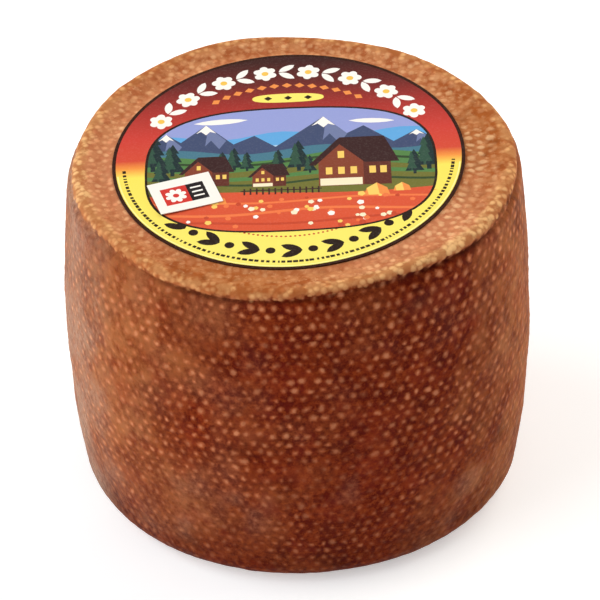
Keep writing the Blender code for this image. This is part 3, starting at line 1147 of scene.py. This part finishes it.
def print_material(name, middle):
    """Printed paper, its inks in a colour attribute and the label's ground a fade from front to back."""
    graph = Graph(name)
    low, high = FADE_STOPS[0][0], FADE_STOPS[-1][0]
    ramp = graph.node("ValToRGB")
    stops = ramp.color_ramp.elements
    while len(stops) < len(FADE_STOPS):
        stops.new(1.0)
    for stop, (at, colour) in zip(stops, FADE_STOPS):
        stop.position = (at - low) / (high - low)
        stop.color = colour
    past_middle = graph.minus(graph.split("XYZ", graph.place)[1], middle[1])
    graph.feed(ramp.inputs[0], graph.step(past_middle, low * MM, high * MM, kind="LINEAR"))
    inks, fades = graph.attribute("inks"), graph.attribute("fades")
    colour = graph.mix(fades["Fac"], inks["Color"], ramp.outputs[0])
    fibre = graph.noise(0.5 * MM, 3.0, 0.6)
    colour = graph.mix(graph.step(fibre, 0.45, 0.75, 0.0, 0.03), colour, INKS["paper"])
    rubbed = graph.noise(9.0 * MM, 4.0, 0.6)
    graph.shader.inputs["Specular IOR Level"].default_value = 0.14
    return graph.finish(colour, graph.step(rubbed, 0.35, 0.7, 0.30, 0.42), graph.bump(fibre, 0.02 * MM, 0.35))


def sheet_piece(name, node, shapes, spacing, degrees, curl, paper=PAPER, sink=0.0):
    """A printed sheet of paper in the place of a flat node, tipped as the top is and not quite flat."""
    verts, faces, top = cut_sheet(shapes, spacing)
    low, high = (np.array(corner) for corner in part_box(node))
    middle = 0.5 * (low + high)
    flat = placed(verts, (0.0, 0.0), degrees) * MM
    lift = middle[2] + 0.5 * PAPER - sink + flat @ SLANT + curl(flat)
    points = np.concatenate([flat + middle[:2], lift[:, None]], 1)
    mesh = bpy.data.meshes.new(name)
    mesh.from_pydata(points.tolist(), [], faces.tolist())
    colours = np.array([INKS.get(ink, INKS["paper"]) for ink, _, _ in shapes])[top]
    attach(mesh, "inks", "FLOAT_COLOR", "CORNER", np.repeat(colours, 3, axis=0))
    fading = np.array([float(ink == FADE) for ink, _, _ in shapes])[top]
    attach(mesh, "fades", "FLOAT", "CORNER", np.repeat(fading, 3))
    mesh.shade_smooth()
    mesh.materials.append(print_material(name + "_print", middle))
    piece = bpy.data.objects.new(name, mesh)
    bpy.context.scene.collection.objects.link(piece)
    thick = piece.modifiers.new("Thickness", "SOLIDIFY")
    thick.thickness = paper
    thick.offset = -1.0
    bpy.context.view_layer.update()
    solid = bpy.data.meshes.new_from_object(piece.evaluated_get(bpy.context.evaluated_depsgraph_get()))
    solid.set_sharp_from_angle(angle=math.radians(40.0))
    piece.modifiers.clear()
    piece.data = solid
    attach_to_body(piece, "root")
    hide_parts(node)


def label_curl(flat):
    """The label lies in faint waves, as glued paper does."""
    return layered_noise(np.concatenate([flat, np.zeros((len(flat), 1))], 1), LABEL_WAVES) * MM


def seal_curl(flat):
    """The seal lies on the label with its lower left corner a little up."""
    loose = np.clip(-(flat[:, 0] + flat[:, 1]) / (0.5 * (SEAL_WIDTH + SEAL_DEPTH) * MM), 0.0, 1.0)
    return SEAL_CURL * loose ** 2


def papers():
    sheet_piece("label_sheet", "paper_label", label_shapes(), 2.2, 0.0, label_curl)
    sheet_piece("seal_sheet", "paper_seal", seal_shapes(), 1.5, SEAL_TURN, seal_curl, SEAL_PAPER, SEAL_SINK)


# Stage

def floor():
    """A plain pale floor, a little lit from within so that it stays near white."""
    bpy.ops.mesh.primitive_plane_add(size=6.0)
    plane = bpy.context.object
    plane.name = "floor"
    graph = Graph("floor")
    graph.shader.inputs["Base Color"].default_value = linear(232, 234, 236)
    graph.shader.inputs["Roughness"].default_value = 0.9
    graph.shader.inputs["Emission Color"].default_value = (1.0, 1.0, 1.0, 1.0)
    graph.shader.inputs["Emission Strength"].default_value = 0.42
    plane.data.materials.append(graph.material)


def broad_sun(name, degrees_round, degrees_up, strength, spread, colour=(1.0, 1.0, 1.0)):
    """Even light from one side of the sky, soft enough to leave no hard shadow."""
    data = bpy.data.lights.new(name, "SUN")
    data.energy = strength
    data.color = colour
    data.angle = math.radians(spread)
    lamp = bpy.data.objects.new(name, data)
    turn, rise = math.radians(degrees_round), math.radians(degrees_up)
    towards = Vector((math.cos(turn) * math.cos(rise), math.sin(turn) * math.cos(rise), math.sin(rise)))
    lamp.rotation_euler = towards.to_track_quat("Z", "Y").to_euler()
    lamp.location = towards
    bpy.context.scene.collection.objects.link(lamp)


def lights():
    """Soft studio light: a bright side on the left, a warmer one on the right and a faint one from above."""
    bpy.context.scene.view_settings.view_transform = "Standard"
    world = bpy.data.worlds.new("studio")
    world.use_nodes = True
    world.node_tree.nodes["Background"].inputs["Color"].default_value = (1.0, 1.0, 1.0, 1.0)
    world.node_tree.nodes["Background"].inputs["Strength"].default_value = 0.25
    bpy.context.scene.world = world
    broad_sun("left_sun", 187.0, 26.0, 3.0, 70.0)
    broad_sun("right_sun", 38.0, 22.0, 2.7, 70.0, (1.0, 0.91, 0.78))
    broad_sun("top_sun", 90.0, 75.0, 0.4, 90.0)


# Camera, which has the middle of the wheel's height at MIDDLE_PIXEL

CAMERA_RISE = math.radians(38.4)
CAMERA_ROLL = math.radians(-1.44)
CAMERA_DISTANCE = 1.0
FOCAL_PIXELS = 4119.0
PICTURE_PIXELS = 600.0
MIDDLE_PIXEL = (297.6, 306.7)


def camera():
    data = bpy.data.cameras.new("camera")
    data.sensor_width = 36.0
    data.lens = FOCAL_PIXELS / PICTURE_PIXELS * data.sensor_width
    data.clip_start, data.clip_end = 0.05, 20.0
    seen = bpy.data.objects.new("camera", data)
    bpy.context.scene.collection.objects.link(seen)
    back = Vector((0.0, -math.cos(CAMERA_RISE), math.sin(CAMERA_RISE)))
    level, up = Vector((1.0, 0.0, 0.0)), Vector((0.0, math.sin(CAMERA_RISE), math.cos(CAMERA_RISE)))
    right = math.cos(CAMERA_ROLL) * level + math.sin(CAMERA_ROLL) * up
    above = -math.sin(CAMERA_ROLL) * level + math.cos(CAMERA_ROLL) * up
    pixel = CAMERA_DISTANCE / FOCAL_PIXELS
    aim = Vector((0.0, 0.0, 0.5 * TOP_HEIGHT))
    aim += right * (0.5 * PICTURE_PIXELS - MIDDLE_PIXEL[0]) * pixel
    aim += above * (MIDDLE_PIXEL[1] - 0.5 * PICTURE_PIXELS) * pixel
    turn = Matrix((right, above, back)).transposed().to_4x4()
    seen.matrix_world = Matrix.Translation(aim + back * CAMERA_DISTANCE) @ turn
    bpy.context.scene.camera = seen


camera()
rind_piece()
papers()
floor()
lights()
